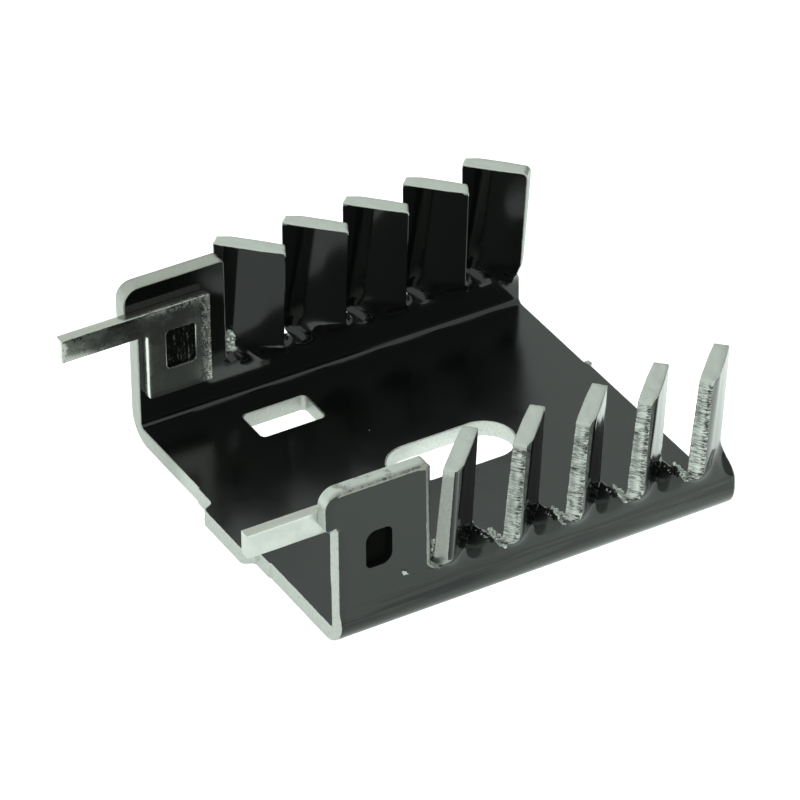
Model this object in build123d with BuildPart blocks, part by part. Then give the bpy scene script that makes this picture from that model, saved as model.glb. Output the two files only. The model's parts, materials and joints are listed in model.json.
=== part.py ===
from build123d import *
from math import cos, radians, sin
import os

os.makedirs("parts", exist_ok=True)

# Transistor heat sink: one folded aluminium channel with twisted fins, and two staked solder pins.
# All sizes in mm. Y runs from the pin end to the fin end, X across the channel, Z up from the underside.
# The origin is the middle of the screw slot, on the underside of the base.

# The folded sheet
sheet = 1.2
bend_inside = 0.4
bend_outside = 2.1
width = 28.6
height = 12.5
length_right = 30.08
length_left = 29.9

# How far the tongue and the tabs stand past the pin end, to rest on a board
standoff = 0.9

# The tongue on the pin end of the base
tongue_width = 6.1
tongue_flank = 65.0
tongue_corner = 0.45
tongue_root = 0.35
shoulder_width = 9.7
shoulder_reach = 0.1

# The shear nub left on the fin end
nub_reach = 0.25
nub_width = 0.5
nub_from_middle = 4.3

# The plain tab at the pin end of each wall
tab_length = 6.75
overhang_bottom = 9.7
tab_front_corner = 1.15
tab_back_corner = 0.35
step_corner = 0.25
slit_corner = 0.4

# The screw slot and the pin-side window in the base
slot_width = 4.3
slot_length = 9.4
slot_from_pin_end = 16.65
window_length = 4.85
window_width = 2.95
window_from_pin_end = 8.98
window_from_middle = 9.35
window_corner = 0.35

# The fins: cut apart without losing metal, then each twisted about its own middle
fin_count = 5
fin_root = 4.1
twist_done = 5.15
first_fin = 7.65
first_fin_growth = 0.8
first_fin_shift = 0.15
first_cut = 12.02
fin_pitch = 4.72
cut_gap = 0.1
lip = 1.1
lip_bow = 0.1
low_twist = 39.5
top_twist = 44.5
low_neck = 0.7
low_shift_in = 0.35
top_shift_out = 0.12
low_shift_back = 0.35
top_shift_back = 0.08
low_pinched_edge = 1.15
top_pinched_edge = 0.92
free_edge = 1.05

# The solder pins: flat lugs against the inside of the tabs
lug_sheet = 0.8
lug_start = 0.4
lug_length = 4.8
lug_bottom = 3.8
lug_top = 10.75
lug_corner = 0.2
pin_width = 1.8
pin_reach = 6.0
pin_chamfer = 0.12
stake_from_pin_end = 2.9
stake_level = 7.35
stake_length = 2.2
stake_height = 3.0
stake_corner = 0.3
stake_fit = 0.02
stake_rise = 0.55
pocket_shrink = 0.3
pocket_corner = 0.45

# Places that follow from those sizes
pin_end = -slot_from_pin_end
fin_end = pin_end + length_right
wall_middle = width / 2 - sheet / 2
wall_inside = width / 2 - sheet


def thick_line(points, half_thickness):
    """Corners of a strip of sheet seen from above, along a bent middle line."""
    outside = []
    inside = []
    for i, here in enumerate(points):
        along_in = (here - points[i - 1]).normalized() if i else Vector(0, 0)
        along_out = (points[i + 1] - here).normalized() if i < len(points) - 1 else Vector(0, 0)
        along = along_in + along_out
        square = Vector(-along.Y, along.X).normalized() * half_thickness[i]
        outside.append((here.X + square.X, here.Y + square.Y))
        inside.append((here.X - square.X, here.Y - square.Y))
    return outside + inside[::-1]


def fin_plan(side, start, end, twist, shift_in, shift_back, neck, pinched_edge):
    """Plan of one fin between its cut lines start and end; twist is in degrees."""
    middle = Vector(side * (wall_middle - shift_in), (start + end) / 2 - shift_back)
    along = Vector(-side * sin(radians(twist)), cos(radians(twist)))
    outward = Vector(side * cos(radians(twist)), sin(radians(twist)))
    half_width = (end - start - neck) / 2
    edge = middle - along * half_width
    bend = edge + along * lip + outward * lip_bow
    tip = middle + along * half_width
    return thick_line([edge, bend, tip], [pinched_edge / 2, sheet / 2, free_edge / 2])


def section(plan, level):
    """Flat face from plan corners, at one height."""
    return Face(Wire.make_polygon([(x, y, level) for x, y in plan]))


# Folded sheet
with BuildPart() as folded_heat_sink:
    # Channel section, drawn across the fin end and run back to the end of the tabs
    with BuildSketch(Plane.XZ.offset(-fin_end)) as channel_outside:
        Rectangle(width, height, align=(Align.CENTER, Align.MIN))
        fillet(channel_outside.vertices().group_by(Axis.Y)[0], bend_outside)
    extrude(amount=length_right + standoff)
    with BuildSketch(Plane.XZ.offset(-fin_end)) as channel_inside:
        with Locations((0, sheet)):
            Rectangle(wall_inside * 2, height, align=(Align.CENTER, Align.MIN))
        fillet(channel_inside.vertices().group_by(Axis.Y)[0], bend_inside)
    extrude(amount=length_right + standoff, mode=Mode.SUBTRACT)

    # Side outline: tab with its overhang, and the low wall that carries the fins
    with BuildSketch(Plane.YZ) as side_outline:
        with BuildLine():
            Polyline(
                (pin_end, 0),
                (pin_end, overhang_bottom),
                (pin_end - standoff, overhang_bottom),
                (pin_end - standoff, height),
                (pin_end + tab_length, height),
                (pin_end + tab_length, fin_root),
                (fin_end, fin_root),
                (fin_end, 0),
                close=True,
            )
        make_face()
        fillet(side_outline.vertices().sort_by_distance((pin_end - standoff, height))[0], tab_front_corner)
        fillet(side_outline.vertices().sort_by_distance((pin_end + tab_length, height))[0], tab_back_corner)
        fillet(side_outline.vertices().sort_by_distance((pin_end, overhang_bottom))[0], step_corner)
        fillet(
            side_outline.vertices().sort_by_distance((pin_end - standoff, overhang_bottom))[0],
            step_corner,
        )
        fillet(side_outline.vertices().sort_by_distance((pin_end + tab_length, fin_root))[0], slit_corner)
    extrude(amount=width, both=True, mode=Mode.INTERSECT)

    # The left half ends a little short, with a nub where the two cuts of the press met
    with BuildSketch() as fin_end_trim:
        with Locations((-nub_from_middle, pin_end + length_left)):
            Rectangle(width, length_right, align=(Align.MAX, Align.MIN))
    extrude(amount=height, mode=Mode.SUBTRACT)
    with BuildSketch() as nub:
        with Locations((-nub_from_middle, pin_end + length_left)):
            Rectangle(nub_width, nub_reach + length_right - length_left, align=(Align.CENTER, Align.MIN))
    extrude(amount=sheet)

    # Tongue with rounded corners between two shallow shoulders
    with BuildSketch() as tongue:
        with Locations((0, pin_end)):
            Rectangle(shoulder_width, shoulder_reach, align=(Align.CENTER, Align.MAX))
            Trapezoid(tongue_width, standoff, tongue_flank, rotation=180, align=(Align.CENTER, Align.MIN))
        fillet(tongue.vertices().group_by(Axis.Y)[0], tongue_corner)
        inner_corners = tongue.vertices().filter_by(
            lambda v: abs(v.Y - pin_end + shoulder_reach) < 0.01 and abs(v.X) < shoulder_width / 2 - 0.01
        )
        fillet(inner_corners, tongue_root)
    extrude(amount=sheet)

    # Screw slot in the middle and the window beside it
    with BuildSketch() as base_openings:
        SlotOverall(slot_length, slot_width, rotation=90)
        with Locations((-window_from_middle, pin_end + window_from_pin_end)):
            RectangleRounded(window_width, window_length, window_corner)
    extrude(amount=sheet, mode=Mode.SUBTRACT)

    # Fins, lofted from the flat root through the steep twist to the free top
    cuts = [pin_end + first_fin] + [pin_end + first_cut + i * fin_pitch for i in range(fin_count - 1)]
    for side, wall_end in ((1, fin_end), (-1, pin_end + length_left)):
        for i, cut in enumerate(cuts):
            root_start = cut + cut_gap / 2 if i else cut
            root_end = cuts[i + 1] - cut_gap / 2 if i < fin_count - 1 else wall_end
            start = cut if i else cut - first_fin_growth
            end = cuts[i + 1] if i < fin_count - 1 else cut + fin_pitch
            root_line = [
                Vector(side * wall_middle, root_start),
                Vector(side * wall_middle, root_start + lip),
                Vector(side * wall_middle, root_end),
            ]
            flat = thick_line(root_line, [sheet / 2] * 3)
            back = 0 if i else first_fin_shift
            low_back = low_shift_back + back
            top_back = top_shift_back + back
            low = fin_plan(side, start, end, low_twist, low_shift_in, low_back, low_neck, low_pinched_edge)
            top = fin_plan(side, start, end, top_twist, -top_shift_out, top_back, 0, top_pinched_edge)
            loft(
                sections=[section(flat, fin_root), section(low, twist_done), section(top, height)],
                ruled=True,
            )

    # Stakes pressed inward from each tab, which leave a pocket outside
    for side in (1, -1):
        with BuildSketch(Plane.YZ.offset(side * wall_inside)) as stake:
            with Locations((pin_end + stake_from_pin_end, stake_level)):
                RectangleRounded(stake_length - 2 * stake_fit, stake_height - 2 * stake_fit, stake_corner)
        extrude(amount=-side * stake_rise)
        with BuildSketch(Plane.YZ.offset(side * width / 2)) as pocket:
            with Locations((pin_end + stake_from_pin_end, stake_level)):
                RectangleRounded(stake_length - pocket_shrink, stake_height - pocket_shrink, pocket_corner)
        extrude(amount=-side * stake_rise, mode=Mode.SUBTRACT)
folded_heat_sink.part.label = "folded_heat_sink"
export_step(folded_heat_sink.part, "parts/folded_heat_sink.step")


def solder_pin(side):
    """Lug plate and pin of one side; side is 1 for the right wall and -1 for the left."""
    with BuildPart() as lug:
        with BuildSketch(Plane.YZ.offset(side * wall_inside)) as outline:
            with BuildLine():
                Polyline(
                    (pin_end + lug_start, lug_bottom),
                    (pin_end + lug_start, lug_top - pin_width),
                    (pin_end - pin_reach, lug_top - pin_width),
                    (pin_end - pin_reach, lug_top),
                    (pin_end + lug_start + lug_length, lug_top),
                    (pin_end + lug_start + lug_length, lug_bottom),
                    close=True,
                )
            make_face()
            fillet(outline.vertices().sort_by_distance((pin_end + lug_start, lug_top - pin_width))[0], lug_corner)
            tip = outline.vertices().group_by(Axis.X)[0]
            chamfer(tip, pin_chamfer)
            with Locations((pin_end + stake_from_pin_end, stake_level)):
                RectangleRounded(stake_length, stake_height, stake_corner, mode=Mode.SUBTRACT)
        extrude(amount=-side * lug_sheet)
    return lug.part


# Right-hand solder pin
with BuildPart() as solder_pin_right:
    add(solder_pin(1))
solder_pin_right.part.label = "solder_pin_right"
export_step(solder_pin_right.part, "parts/solder_pin_right.step")

# Left-hand solder pin
with BuildPart() as solder_pin_left:
    add(solder_pin(-1))
solder_pin_left.part.label = "solder_pin_left"
export_step(solder_pin_left.part, "parts/solder_pin_left.step")
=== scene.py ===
import json
import math

import bpy
import numpy as np
from mathutils import Matrix, Vector, geometry, noise

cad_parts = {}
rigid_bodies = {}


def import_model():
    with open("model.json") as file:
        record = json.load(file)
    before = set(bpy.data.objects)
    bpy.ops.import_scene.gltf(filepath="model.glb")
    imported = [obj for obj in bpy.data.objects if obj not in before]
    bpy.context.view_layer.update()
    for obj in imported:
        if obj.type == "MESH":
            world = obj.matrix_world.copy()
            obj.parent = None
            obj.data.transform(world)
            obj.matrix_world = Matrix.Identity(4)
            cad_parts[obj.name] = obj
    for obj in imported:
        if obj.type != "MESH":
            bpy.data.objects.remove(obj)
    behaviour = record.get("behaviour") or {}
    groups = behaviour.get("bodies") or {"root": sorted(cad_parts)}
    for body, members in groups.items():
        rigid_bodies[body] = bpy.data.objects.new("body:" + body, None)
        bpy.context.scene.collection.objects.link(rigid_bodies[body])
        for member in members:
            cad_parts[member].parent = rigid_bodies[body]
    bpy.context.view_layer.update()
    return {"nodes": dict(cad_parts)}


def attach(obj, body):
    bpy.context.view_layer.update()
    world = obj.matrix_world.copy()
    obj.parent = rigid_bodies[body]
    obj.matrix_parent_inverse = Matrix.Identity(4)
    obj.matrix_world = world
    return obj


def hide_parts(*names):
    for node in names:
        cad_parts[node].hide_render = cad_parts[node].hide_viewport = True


# Black coated aluminium heat sink, folded from one sheet, with two tinned solder pins.
# Lengths in the dictionaries are in millimetres, the scene itself is in metres.
mm = 0.001

bpy.ops.object.select_all(action="SELECT")
bpy.ops.object.delete()
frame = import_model()
print("frame loaded:", sorted(frame["nodes"]))


# Camera and surroundings

cameraValues = {
    "place": (273.8448, -160.7025, 225.8486),
    "right": (0.503755, 0.863823, -0.006297),
    "up": (-0.490118, 0.291810, 0.821359),
    "back": (0.711347, -0.410678, 0.570376),
    "lens": 260.605,
    "sensor": 36,
    "shift": (-0.02158, 0.0003),
}


def placeObject(name, data):
    holder = bpy.data.objects.new(name, data)
    bpy.context.collection.objects.link(holder)
    return holder


def makeCamera(values):
    camera = bpy.data.cameras.new("studioCamera")
    camera.lens = values["lens"]
    camera.sensor_width = values["sensor"]
    camera.shift_x, camera.shift_y = values["shift"]
    camera.clip_start, camera.clip_end = 0.01, 20
    holder = placeObject("studioCamera", camera)
    turn = Matrix((values["right"], values["up"], values["back"])).transposed()
    holder.matrix_world = Matrix.Translation(Vector(values["place"]) * mm) @ turn.to_4x4()
    bpy.context.scene.camera = holder


makeCamera(cameraValues)

studioValues = {
    "tint": (0.90, 1.0, 0.94),
    "surroundings": 1.15,
    "behindShade": 0.18,
    "behindRim": (0.47, 0.6),
    "floorWhite": 1.3,
    "floorGlow": 1.2,
    "leftGlow": 0.3,
    "leftRim": (0.2, 0.9),
    "frontShade": 0.38,
    "frontWay": (0.5, 0.87),
    "frontRim": (0.1, 0.85),
    "paper": (0.2, 0.2, 0.2),
    "paperRoughness": 0.9,
    "floorSize": 6000,
    "floorDrop": 0.02,
    "keyPower": 0.15,
    "keyPlace": (-260, 420, 520),
    "keySize": 300,
}


def makeStudio(values):
    world = bpy.data.worlds.new("whiteSurroundings")
    bpy.context.scene.world = world
    world.use_nodes = True
    tree = world.node_tree
    # the room behind the fin end is dim, all the rest is pale
    way = xyz(Field(addNode(tree, "ShaderNodeTexCoord"), "Generated"))
    room = mixColour(1.0, values["tint"], ramp(way[1], *values["behindRim"], 1.0, values["behindShade"]), "MULTIPLY")
    feed(tree.nodes["Background"], {"Strength": values["surroundings"], "Color": room})
    bpy.context.scene.view_settings.view_transform = "Standard"

    half = values["floorSize"] * mm / 2
    corners = [(-half, -half, 0), (half, -half, 0), (half, half, 0), (-half, half, 0)]
    mesh = meshOf("floor", corners, [(0, 1, 2, 3)])
    floor = placeObject("floor", mesh)
    floor.location.z = -values["floorDrop"] * mm
    paper, tree, shader = newMaterial("whitePaper")
    mesh.materials.append(paper)
    # the paper is white to look at; what it throws on the metal is softer, more from the left than from the front
    spot = Field(addNode(tree, "ShaderNodeTexCoord"), "Object")
    x, y, z = xyz(Field(addNode(tree, "ShaderNodeVectorMath", {0: spot}, operation="NORMALIZE")))
    left = ramp(x * -1.0, *values["leftRim"], 0.0, values["leftGlow"])
    front = x * values["frontWay"][0] - y * values["frontWay"][1]
    glow = left + values["floorGlow"] - ramp(front, *values["frontRim"], 0.0, values["frontShade"])
    seen = Field(addNode(tree, "ShaderNodeLightPath"), "Is Camera Ray")
    thrown = mixColour(1.0, values["tint"], glow, "MULTIPLY")
    feed(shader, {
        "Base Color": values["paper"],
        "Roughness": values["paperRoughness"],
        "Emission Color": mixColour(seen, thrown, (values["floorWhite"],) * 3),
        "Emission Strength": 1.0,
    })

    lamp = bpy.data.lights.new("softKey", "AREA")
    lamp.energy = values["keyPower"]
    lamp.size = values["keySize"] * mm
    key = placeObject("softKey", lamp)
    key.location = Vector(values["keyPlace"]) * mm
    key.rotation_euler = (-key.location).to_track_quat("-Z", "Y").to_euler()


def meshOf(name, places, faces):
    mesh = bpy.data.meshes.new(name)
    mesh.from_pydata(places, [], faces)
    mesh.update()
    return mesh


# Node helpers

class Field:
    # a value that runs through a node tree; arithmetic on it adds the nodes that work it out
    def __init__(self, node, output=0):
        self.socket = node.outputs[output]
        self.tree = node.id_data

    def __add__(self, other):
        return sumUp("ADD", self, other)

    def __sub__(self, other):
        return sumUp("SUBTRACT", self, other)

    def __rsub__(self, other):
        return sumUp("SUBTRACT", other, self)

    def __mul__(self, other):
        return sumUp("MULTIPLY", self, other)

    def __truediv__(self, other):
        return sumUp("DIVIDE", self, other)


def feed(node, inputs):
    # fields are linked to the inputs, everything else is set on them
    for key, value in inputs.items():
        socket = node.inputs[key]
        if isinstance(value, Field):
            value.tree.links.new(value.socket, socket)
        else:
            socket.default_value = value + (1,) if socket.type == "RGBA" else value


def addNode(tree, kind, inputs=None, **settings):
    node = tree.nodes.new(kind)
    for name, value in settings.items():
        setattr(node, name, value)
    feed(node, inputs or {})
    return node


def treeOf(values):
    return next(value.tree for value in values if isinstance(value, Field))


def sumUp(operation, *values):
    return Field(addNode(treeOf(values), "ShaderNodeMath", dict(enumerate(values)), operation=operation))


def larger(first, second):
    return sumUp("MAXIMUM", first, second)


def ramp(value, start, end, low=0.0, high=1.0, smooth=True):
    kind = "SMOOTHSTEP" if smooth else "LINEAR"
    inputs = dict(enumerate((value, start, end, low, high)))
    return Field(addNode(value.tree, "ShaderNodeMapRange", inputs, interpolation_type=kind))


def mixColour(factor, first, second, blend="MIX"):
    # the colours are inputs 6 and 7 and output 2 of this node
    inputs = {0: factor, 6: first, 7: second}
    return Field(addNode(treeOf(inputs.values()), "ShaderNodeMix", inputs, data_type="RGBA", blend_type=blend), 2)


def xyz(vector):
    node = addNode(vector.tree, "ShaderNodeSeparateXYZ", {0: vector})
    return [Field(node, i) for i in range(3)]


def noiseField(place, scale, detail=4.0, roughness=0.5, stretch=(1, 1, 1)):
    spot = Field(addNode(place.tree, "ShaderNodeMapping", {"Vector": place, "Scale": stretch}))
    inputs = {"Vector": spot, "Scale": scale, "Detail": detail, "Roughness": roughness}
    return Field(addNode(place.tree, "ShaderNodeTexNoise", inputs))


def newGroup(name, kind, inputs, outputs):
    # a node group; a number makes a number input, and a word names another kind of socket
    tree = bpy.data.node_groups.new(name, kind)
    for direction, items in (("INPUT", inputs), ("OUTPUT", outputs)):
        for label, value in items.items():
            word = value if isinstance(value, str) else "Int" if isinstance(value, int) else "Float"
            socket = tree.interface.new_socket(name=label, in_out=direction, socket_type="NodeSocket" + word)
            if word != value:
                socket.default_value = value
    return tree, addNode(tree, "NodeGroupInput"), addNode(tree, "NodeGroupOutput")


def newMaterial(name):
    material = bpy.data.materials.new(name)
    material.use_nodes = True
    tree = material.node_tree
    return material, tree, tree.nodes["Principled BSDF"]


def attributeOf(tree, name, output="Fac"):
    return Field(addNode(tree, "ShaderNodeAttribute", attribute_name=name), output)


def millimetres(tree):
    # object coordinates in millimetres
    place = Field(addNode(tree, "ShaderNodeTexCoord"), "Object")
    return Field(addNode(tree, "ShaderNodeMapping", {"Vector": place, "Scale": (1000, 1000, 1000)}))


def bump(height, strength, distance):
    inputs = {"Height": height, "Strength": strength, "Distance": distance * mm}
    return Field(addNode(height.tree, "ShaderNodeBump", inputs))


makeStudio(studioValues)
print("camera and studio ready")


# Effects shared by the materials

def buildSpeckleGroup():
    # fine bright and dark specks, as tin plate and a scuffed coat have
    inputs = {"Place": "Vector", "Speck Scale": 3.0, "Threshold": 0.62}
    tree, start, end = newGroup("Speckle", "ShaderNodeTree", inputs, {"Specks": "Float", "Clouds": "Float"})
    place, scale, threshold = (Field(start, name) for name in inputs)
    fine = addNode(tree, "ShaderNodeTexNoise", {"Vector": place, "Scale": scale, "Detail": 3, "Roughness": 0.7})
    wide = addNode(tree, "ShaderNodeTexNoise", {"Vector": place, "Scale": scale * 0.12, "Detail": 2})
    specks, clouds = ramp(Field(fine), threshold, threshold + 0.08), ramp(Field(wide), 0.35, 0.65)
    feed(end, {"Specks": specks, "Clouds": clouds})
    return tree


def buildEdgeWearGroup():
    # 1 on raw sheared metal, 0 on the coat; the line between them is uneven and chipped
    inputs = {"Place": "Vector", "Gap": "Float", "Reach": 0.05, "Unevenness": 0.08}
    tree, start, end = newGroup("Edge Wear", "ShaderNodeTree", inputs, {"Raw Metal": "Float"})
    place, gap, reach, unevenness = (Field(start, name) for name in inputs)
    edge = (noiseField(place, 2.2, 4, 0.6) - 0.5) * unevenness + reach
    feed(end, {"Raw Metal": ramp(gap, edge, edge + 0.03, 1.0, 0.0)})
    return tree


speckleGroup = buildSpeckleGroup()
edgeWearGroup = buildEdgeWearGroup()


def speckles(place, scale, threshold):
    # fine specks, and the soft clouds behind them
    inputs = {"Place": place, "Speck Scale": scale, "Threshold": threshold}
    node = addNode(place.tree, "ShaderNodeGroup", inputs, node_tree=speckleGroup)
    return Field(node, "Specks"), Field(node, "Clouds")


coatValues = {
    "coatColour": (0.0030, 0.0034, 0.0031),
    # the next three colours are painted light on the coat: a sheen on the outside faces, dark reflection streaks and
    # a highlight on the outer bend
    "outsideColour": (0.0225, 0.0250, 0.0240),
    "bendStreak": (0.0008, 0.0010, 0.0010),
    "bendBright": (0.0360, 0.0370, 0.0360),
    "baseRoughness": 0.19,
    "finRoughness": 0.09,
    "coatIor": 1.48,
    "metalColour": (0.40, 0.405, 0.385),
    "metalShade": (0.32, 0.325, 0.31),
    "shearLight": (0.66, 0.68, 0.65),
    "shearMiddle": (0.29, 0.30, 0.285),
    "shearDark": (0.04, 0.043, 0.04),
    # the next colour is a painted highlight for the edges at the pin end and round the slot
    "burnished": (0.62, 0.63, 0.605),
    # the next colour is a painted highlight for the top edges
    "topColour": (0.50, 0.515, 0.485),
    "leftTabStain": 0.45,
    # the next colour is a stain, and also painted shade on the rolled outer edge of the tab tops
    "stain": (0.20, 0.19, 0.16),
    "metalRoughness": 0.42,
    "wearReach": 0.02,
    "wearUnevenness": 0.09,
    "wallFoot": 14.6,
    "finFoot": 16.6,
    "topRim": (24.3, 24.7),
    "tabEnd": -9.8,
    "pinEnd": -16.3,
    "slotHalf": 2.4,
    "slotReach": 5.0,
}


def makeCoatedSheet(values):
    material, tree, shader = newMaterial("blackCoatedAluminium")
    flat = attributeOf(tree, "flatPlace", "Vector")
    place = millimetres(tree)
    wear = {"Place": place, "Gap": attributeOf(tree, "edgeGap")}
    wear.update({"Reach": values["wearReach"], "Unevenness": values["wearUnevenness"]})
    raw = Field(addNode(tree, "ShaderNodeGroup", wear, node_tree=edgeWearGroup))
    side, along, deep = xyz(flat)
    across = sumUp("ABSOLUTE", side)
    foot, finFoot, tabEnd = values["wallFoot"], values["finFoot"], values["tabEnd"]
    # coat: nearly black, a little cloudy in its gloss, and glossier on the fins than on the base
    clouds = ramp(noiseField(place, 0.35, 3), 0.3, 0.7, -0.02, 0.03)
    coatRough = clouds + ramp(across, 12.5, foot + 1.0, values["baseRoughness"], values["finRoughness"])
    # outside of the walls and tabs: a lighter coat colour as painted sheen for the pale surroundings they reflect,
    # soft dark streaks of painted reflection over the marks that the bending die left, and a painted highlight along
    # the lower outer bend
    onTab = ramp(along, tabEnd - 0.1, tabEnd, 1.0, 0.0)
    outside = ramp(deep, 0.1, 0.5, 1.0, 0.0) * ramp(across, foot - 1.6, foot)
    outside = outside * larger(ramp(across, finFoot - 0.2, finFoot + 0.5, 1.0, 0.0), onTab)
    # painted sheen: the outside faces take a lighter coat colour
    coat = mixColour(outside, values["coatColour"], values["outsideColour"])
    drawn = noiseField(flat, 1.0, 3, 0.6, (2.6, 0.09, 0.0))
    inBend = ramp(across, foot - 1.2, foot - 0.5) * ramp(across, foot + 1.4, foot + 0.6)
    # painted reflection: dark streaks across the outer bend
    coat = mixColour(inBend * outside * ramp(drawn, 0.42, 0.56), coat, values["bendStreak"])
    # painted highlight: a lighter band on the lower outer bend
    coat = mixColour(ramp(across, foot - 0.6, foot - 1.3) * outside, coat, values["bendBright"])
    # cut metal: pale, with a fine grain and a few pits
    grain = noiseField(place, 5.0, 5, 0.7)
    plain = mixColour(ramp(grain, 0.35, 0.65), values["metalShade"], values["metalColour"])
    pits = speckles(place, 4.5, 0.66)[0]
    # the edges at the pin end and round the slot get a painted highlight; the tops of the tabs are stained in places
    # and have painted shade along their rolled outer edge
    pinEnd = ramp(along, values["pinEnd"] + 0.4, values["pinEnd"]) * ramp(side, -9.0, -6.0)
    aroundSlot = ramp(across, values["slotHalf"], values["slotHalf"] + 0.2, 1.0, 0.0)
    alongSlot = ramp(sumUp("ABSOLUTE", along), values["slotReach"], values["slotReach"] + 0.2, 1.0, 0.0)
    # painted highlight on the edges at the pin end and round the slot
    burnished = larger(pinEnd, aroundSlot * alongSlot) * ramp(grain, 0.25, 0.6, 0.4, 0.9)
    plain = mixColour(burnished, plain, values["burnished"])
    # painted light: the top edges of the walls, tabs and fins are lightened
    onTop = ramp(across, *values["topRim"])
    plain = mixColour(onTop * 0.9, plain, values["topColour"])
    stainsAndShade = ramp(noiseField(place, 0.9, 4, 0.65), 0.5, 0.64, 0.0, 0.75)
    # painted shade along the rolled outer edge of the tab tops, over the brown coat left on the roll
    stainsAndShade = larger(stainsAndShade, ramp(deep, 0.5, 0.15, 0.0, 0.6))
    stainsAndShade = larger(stainsAndShade, ramp(side, -10.0, -12.0, 0.0, values["leftTabStain"]))
    plain = mixColour(stainsAndShade * (onTop * onTab), plain, values["stain"])
    plain = mixColour(pits * 0.7, plain, values["shearDark"])
    # sheared fin edges: fine lines across the thickness, galled towards the outer face
    shear = attributeOf(tree, "sheared")
    lines = noiseField(flat, 1.0, 3, 0.6, (7.0, 0.9, 0.6))
    fineLines = noiseField(flat, 1.0, 3, 0.65, (20.0, 2.5, 1.8))
    galled = ramp(noiseField(flat, 1.0, 3, 0.6, (9.0, 3.0, 4.0)), 0.38, 0.6, 0.2, 1.8)
    galled = ramp(deep, 0.46, 0.2, 0.0, 0.085) * galled
    level = lines * 0.46 + fineLines * 0.66 + noiseField(flat, 1.3, 3, 0.6) * 0.22 - galled
    scored = mixColour(ramp(level, 0.52, 0.60), values["shearDark"], values["shearMiddle"])
    scored = mixColour(ramp(level, 0.61, 0.72), scored, values["shearLight"])
    metalRough = ramp(grain, 0.3, 0.7, values["metalRoughness"] - 0.06, values["metalRoughness"] + 0.1)
    feed(shader, {
        "Base Color": mixColour(raw, coat, mixColour(shear, plain, scored)),
        "Metallic": raw * 0.9,
        "Roughness": raw * (metalRough - coatRough) + coatRough,
        "IOR": values["coatIor"],
        "Normal": bump((level * (shear * 2.5) + grain) * raw, 0.5, 0.03),
    })
    return material


pressedValues = {"colour": (0.004, 0.0045, 0.004), "fleck": (0.17, 0.175, 0.165), "roughness": 0.7, "ior": 1.08}


def makePressedFace(values):
    # dull, scuffed coat on the stakes and in their pockets, with a few drawn lines of bare metal
    material, tree, shader = newMaterial("scuffedStake")
    flat = attributeOf(tree, "flatPlace", "Vector")
    lines = noiseField(flat, 1.0, 4, 0.7, (1.2, 6.0, 1.0))
    broken = ramp(noiseField(flat, 4.0, 3, 0.6), 0.42, 0.6)
    flecks = ramp(lines, 0.52, 0.66) * broken * attributeOf(tree, "stakeFace")
    feed(shader, {
        "Base Color": mixColour(flecks, values["colour"], values["fleck"]),
        "Metallic": flecks * 0.9,
        "Roughness": values["roughness"],
        "IOR": values["ior"],
        "Normal": bump(lines, 0.8, 0.06),
    })
    return material


tinValues = {
    "light": (0.72, 0.73, 0.70),
    "dark": (0.64, 0.65, 0.63),
    # the next colour is painted shade for the faces turned up and the faces turned inwards
    "dull": (0.40, 0.40, 0.37),
    "pit": (0.05, 0.055, 0.05),
    "roughness": 0.24,
    "frosting": 0.56,
    "speckScale": 5.0,
    "speckThreshold": 0.56,
    "plateStart": -16.4,
    "sparkleAbove": 10.15,
    "sparkleBeyond": -12.35,
}


def makeTinPlate(values):
    material, tree, shader = newMaterial("tinnedSteel")
    place = millimetres(tree)
    specks, clouds = speckles(place, values["speckScale"], values["speckThreshold"])
    cloudy = mixColour(clouds, values["dark"], values["light"])
    # the plating is pitted on the pin and sparkles along the plate's top and far edges
    side, along, level = xyz(place)
    onPin = ramp(along, values["plateStart"] + 0.6, values["plateStart"] - 0.6)
    nearTop = ramp(level, values["sparkleAbove"], values["sparkleAbove"] + 0.6)
    nearEnd = ramp(along, values["sparkleBeyond"], values["sparkleBeyond"] + 0.5)
    sparkle = larger(nearTop, nearEnd) * (1.0 - onPin)
    # the faces turned to the wall are smooth and keep the light colour, the ones turned inwards are pitted; faces
    # turned inwards and faces turned up take the duller colour as painted shade
    facing = xyz(Field(addNode(tree, "ShaderNodeNewGeometry"), "Normal"))
    inwards = ramp(facing[0] * sumUp("SIGN", side) * -1.0, 0.2, 0.8)
    specks = specks * larger(onPin * 0.75 + sparkle * 0.8, 0.06) * (inwards * 0.9 + 0.08)
    # painted shade: faces turned up and faces turned inwards take the duller colour
    shadedFacing = larger(ramp(facing[2], 0.4, 0.8), inwards * 0.6)
    even = ramp(clouds, 0.0, 1.0, values["roughness"] - 0.03, values["roughness"] + 0.04)
    frosted = sparkle * inwards * ramp(noiseField(place, 5.0, 2, 0.6), 0.52, 0.58)
    lumps = noiseField(place, 4.5, 2, 0.6) * (sparkle * 5.0 + 0.1)
    feed(shader, {
        "Base Color": mixColour(specks, mixColour(shadedFacing, cloudy, values["dull"]), values["pit"]),
        "Metallic": 1.0,
        "Roughness": even + frosted * values["frosting"],
        "Normal": bump(lumps, 0.35, 0.03),
    })
    return material


tornValues = {
    "colour": {"tornMetal": (0.58, 0.60, 0.57), "tornCoat": (0.009, 0.0095, 0.009)},
    "fleck": {"tornMetal": (0.05, 0.052, 0.05), "tornCoat": (0.2, 0.205, 0.19)},
    "threshold": {"tornMetal": 0.64, "tornCoat": 0.61},
    "metallic": {"tornMetal": 0.9, "tornCoat": 0.0},
    "roughness": {"tornMetal": 0.4, "tornCoat": 0.45},
    "ior": {"tornMetal": 1.5, "tornCoat": 1.2},
}


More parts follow.
